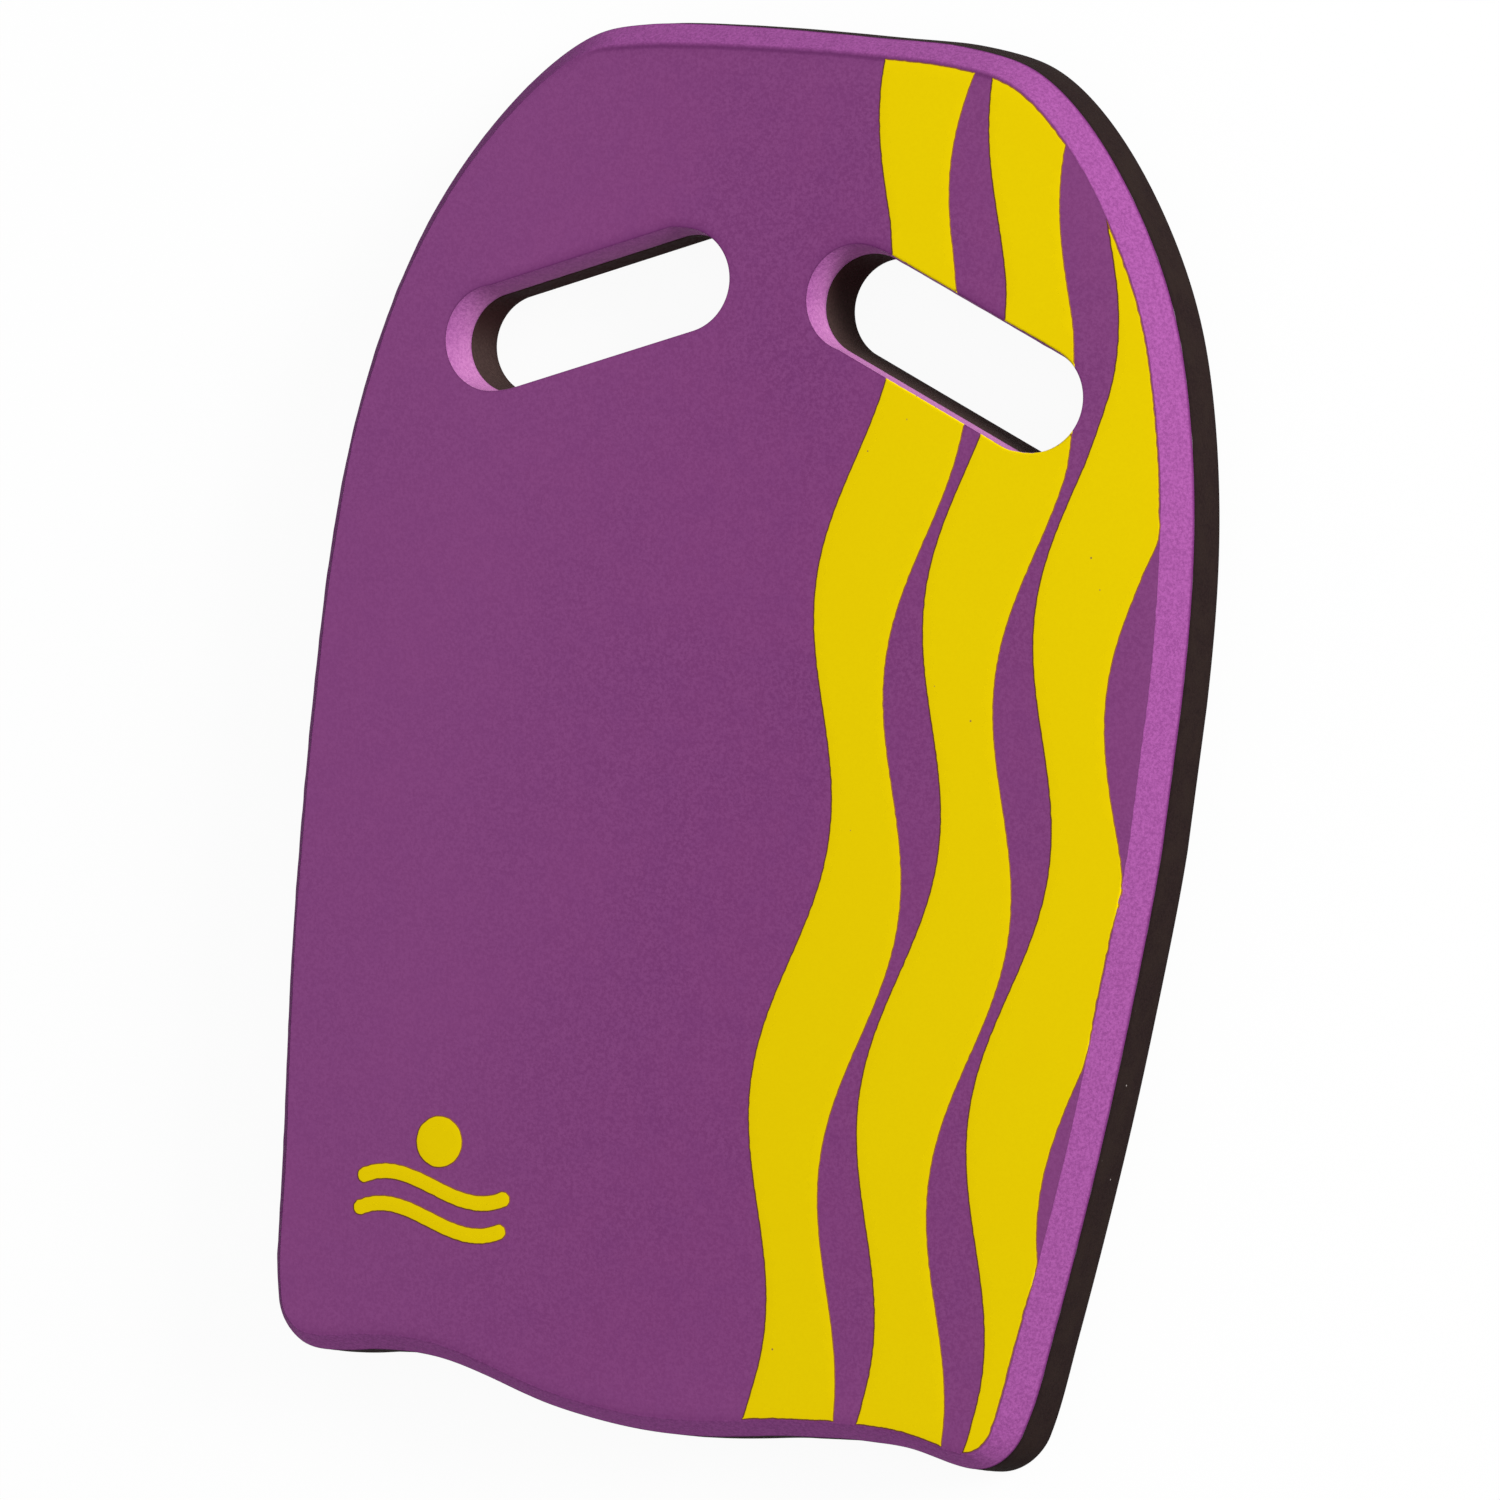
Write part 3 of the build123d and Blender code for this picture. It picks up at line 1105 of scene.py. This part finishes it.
# Light: an even surround, and a broad soft box beyond the +X side, some way toward the nose and
# about 22 degrees up
SURROUND = 0.6
KEY_DIRECTION = Vector((0.87, 0.5, 0.4))
KEY_DISTANCE = 3.0
KEY_STRENGTH = 1.19
KEY_WIDTH = 1.6
KEY_HEIGHT = 0.9

# Camera: high over the +X side, and rolled a little
CAMERA_TARGET = Vector((0.01235, -0.00437, 0.027))
CAMERA_DISTANCE = 1.9043
CAMERA_ELEVATION = 65.41
CAMERA_AZIMUTH = 3.68
CAMERA_ROLL = 7.45
CAMERA_LENS = 152.86
CAMERA_SENSOR = 36.0


def pale_floor():
    """A white floor that takes the object's shadow faintly."""
    graph = Graph("pale_floor")
    seen = graph.add("ShaderNodeLightPath")
    patch = graph.noise(300, 2)
    dark, light = ((grey, grey, grey, 1) for grey in (0.88, 0.92))
    tint = graph.mix(graph.remap(patch, *GRAIN_RANGE), dark, light)
    cloth = graph.add("ShaderNodeBsdfDiffuse", Color=tint)
    white = graph.add("ShaderNodeEmission", Strength=1.0)
    direct = graph.combine("MAXIMUM", seen.outputs["Is Camera Ray"], seen.outputs["Is Glossy Ray"])
    both = graph.add("ShaderNodeMixShader")
    graph.put(both.inputs[0], graph.times(FLOOR_GLOW, direct))
    graph.put(both.inputs[1], cloth.outputs[0])
    graph.put(both.inputs[2], white.outputs[0])
    graph.add("ShaderNodeOutputMaterial", Surface=both.outputs[0])
    return graph.material


def make_floor():
    corners = [(x * FLOOR_HALF, y * FLOOR_HALF, -FLOOR_DROP)
               for x, y in ((-1, -1), (1, -1), (1, 1), (-1, 1))]
    mesh = bpy.data.meshes.new("floor")
    mesh.from_pydata(corners, [], [(0, 1, 2, 3)])
    floor = bpy.data.objects.new("floor", mesh)
    bpy.context.scene.collection.objects.link(floor)
    mesh.materials.append(pale_floor())


def make_surround():
    """Even light from all round, which the camera sees as plain white."""
    world = bpy.data.worlds.new("surround")
    bpy.context.scene.world = world
    world.use_nodes = True
    tree = world.node_tree
    tree.nodes.clear()
    seen = tree.nodes.new("ShaderNodeLightPath")
    direct = tree.nodes.new("ShaderNodeMath")
    direct.operation = "MAXIMUM"
    tree.links.new(seen.outputs["Is Camera Ray"], direct.inputs[0])
    tree.links.new(seen.outputs["Is Transmission Ray"], direct.inputs[1])
    light, white = (tree.nodes.new("ShaderNodeBackground") for _ in range(2))
    light.inputs["Strength"].default_value = SURROUND
    for one in (light, white):
        one.inputs["Color"].default_value = (1, 1, 1, 1)
    both = tree.nodes.new("ShaderNodeMixShader")
    tree.links.new(direct.outputs[0], both.inputs[0])
    tree.links.new(light.outputs[0], both.inputs[1])
    tree.links.new(white.outputs[0], both.inputs[2])
    output = tree.nodes.new("ShaderNodeOutputWorld")
    tree.links.new(both.outputs[0], output.inputs["Surface"])


def make_key():
    """Soft box whose light on a facing surface is KEY_STRENGTH times a plain white surround."""
    lamp = bpy.data.lights.new("key", "AREA")
    lamp.shape = "RECTANGLE"
    lamp.size = KEY_WIDTH
    lamp.size_y = KEY_HEIGHT
    lamp.energy = KEY_STRENGTH * math.pi**2 * KEY_DISTANCE**2
    key = bpy.data.objects.new("key", lamp)
    bpy.context.scene.collection.objects.link(key)
    direction = KEY_DIRECTION.normalized()
    key.location = direction * KEY_DISTANCE
    key.rotation_euler = direction.to_track_quat("Z", "Y").to_euler()
    key.visible_camera = False


def make_camera():
    """Camera that looks at its target from a distance, turned a little about its own axis."""
    angles = CAMERA_ELEVATION, CAMERA_AZIMUTH, CAMERA_ROLL
    elevation, azimuth, roll = (math.radians(angle) for angle in angles)
    level_share = math.cos(elevation)
    back = Vector((math.cos(azimuth) * level_share, math.sin(azimuth) * level_share,
                   math.sin(elevation)))
    level = Vector((0, 1, 0)).cross(back).normalized()
    rise = back.cross(level)
    right = level * math.cos(roll) + rise * math.sin(roll)
    up = rise * math.cos(roll) - level * math.sin(roll)
    lens = bpy.data.cameras.new("camera")
    lens.lens = CAMERA_LENS
    lens.sensor_width = CAMERA_SENSOR
    camera = bpy.data.objects.new("camera", lens)
    bpy.context.scene.collection.objects.link(camera)
    turn = Matrix((right, up, back)).transposed().to_4x4()
    camera.matrix_world = Matrix.Translation(CAMERA_TARGET + back * CAMERA_DISTANCE) @ turn
    bpy.context.scene.camera = camera


# --- The pieces ----------------------------------------------------------------------------------

def dress(made, material, node):
    """Give a piece its material and its place in the frame."""
    made.data.materials.append(material)
    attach(made, "root")
    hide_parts(node)
    return made


front_walls = [front_wall(slot, seed) for slot, seed in zip(SLOTS, (80, 100))]
back_walls = [back_wall(slot, seed) for slot, seed in zip(SLOTS, (120, 140))]
front = sheet_mesh("front_sheet", front_edge(), front_walls, FACE_STEP, HIDDEN_STEP, True)
back = sheet_mesh("back_sheet", back_edge(), back_walls, HIDDEN_STEP, FACE_STEP, False)
film = glue_mesh("glue_seam")
foam = BVHTree.FromPolygons([v.co for v in front.data.vertices],
                            [tuple(p.vertices) for p in front.data.polygons])
bands = ink_mesh("wave_bands", flat_loops("side_print", INK_TOP), foam, seed=200)
crest = ink_mesh("corner_crest", flat_loops("corner_print", INK_TOP), foam, seed=300)

dress(front, front_foam(), "front_layer")
dress(back, back_foam(), "back_layer")
dress(film, glue(), "glue_film")
yellow = ink()
dress(bands, yellow, "side_print")
dress(crest, yellow, "corner_print")

make_floor()
make_surround()
make_key()
make_camera()
bpy.context.scene.view_settings.view_transform = "Standard"
